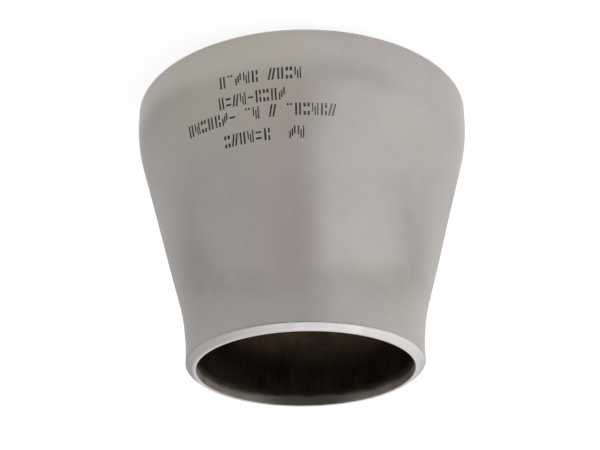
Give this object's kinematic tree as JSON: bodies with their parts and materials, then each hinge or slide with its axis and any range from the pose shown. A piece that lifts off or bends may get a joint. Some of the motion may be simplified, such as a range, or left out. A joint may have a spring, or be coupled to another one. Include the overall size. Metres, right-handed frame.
{
  "type": "concentric butt-weld pipe reducer",
  "caption": "Tapered steel pipe reducer with both ends on one axis, a bevelled edge for butt welding at each end and an open passage right through.",
  "frame": {"origin": "centre of the large end's face, where the part stands", "axes": "+Z along the flow axis from the large end to the small end; X and Y are square to it and the part is the same all round"},
  "size_m": [0.1683, 0.1682, 0.14],
  "materials": {
    "pickled_steel": "satin"
  },
  "bodies": {
    "root": {"reducer_body": "pickled_steel"}
  },
  "joints": []
}
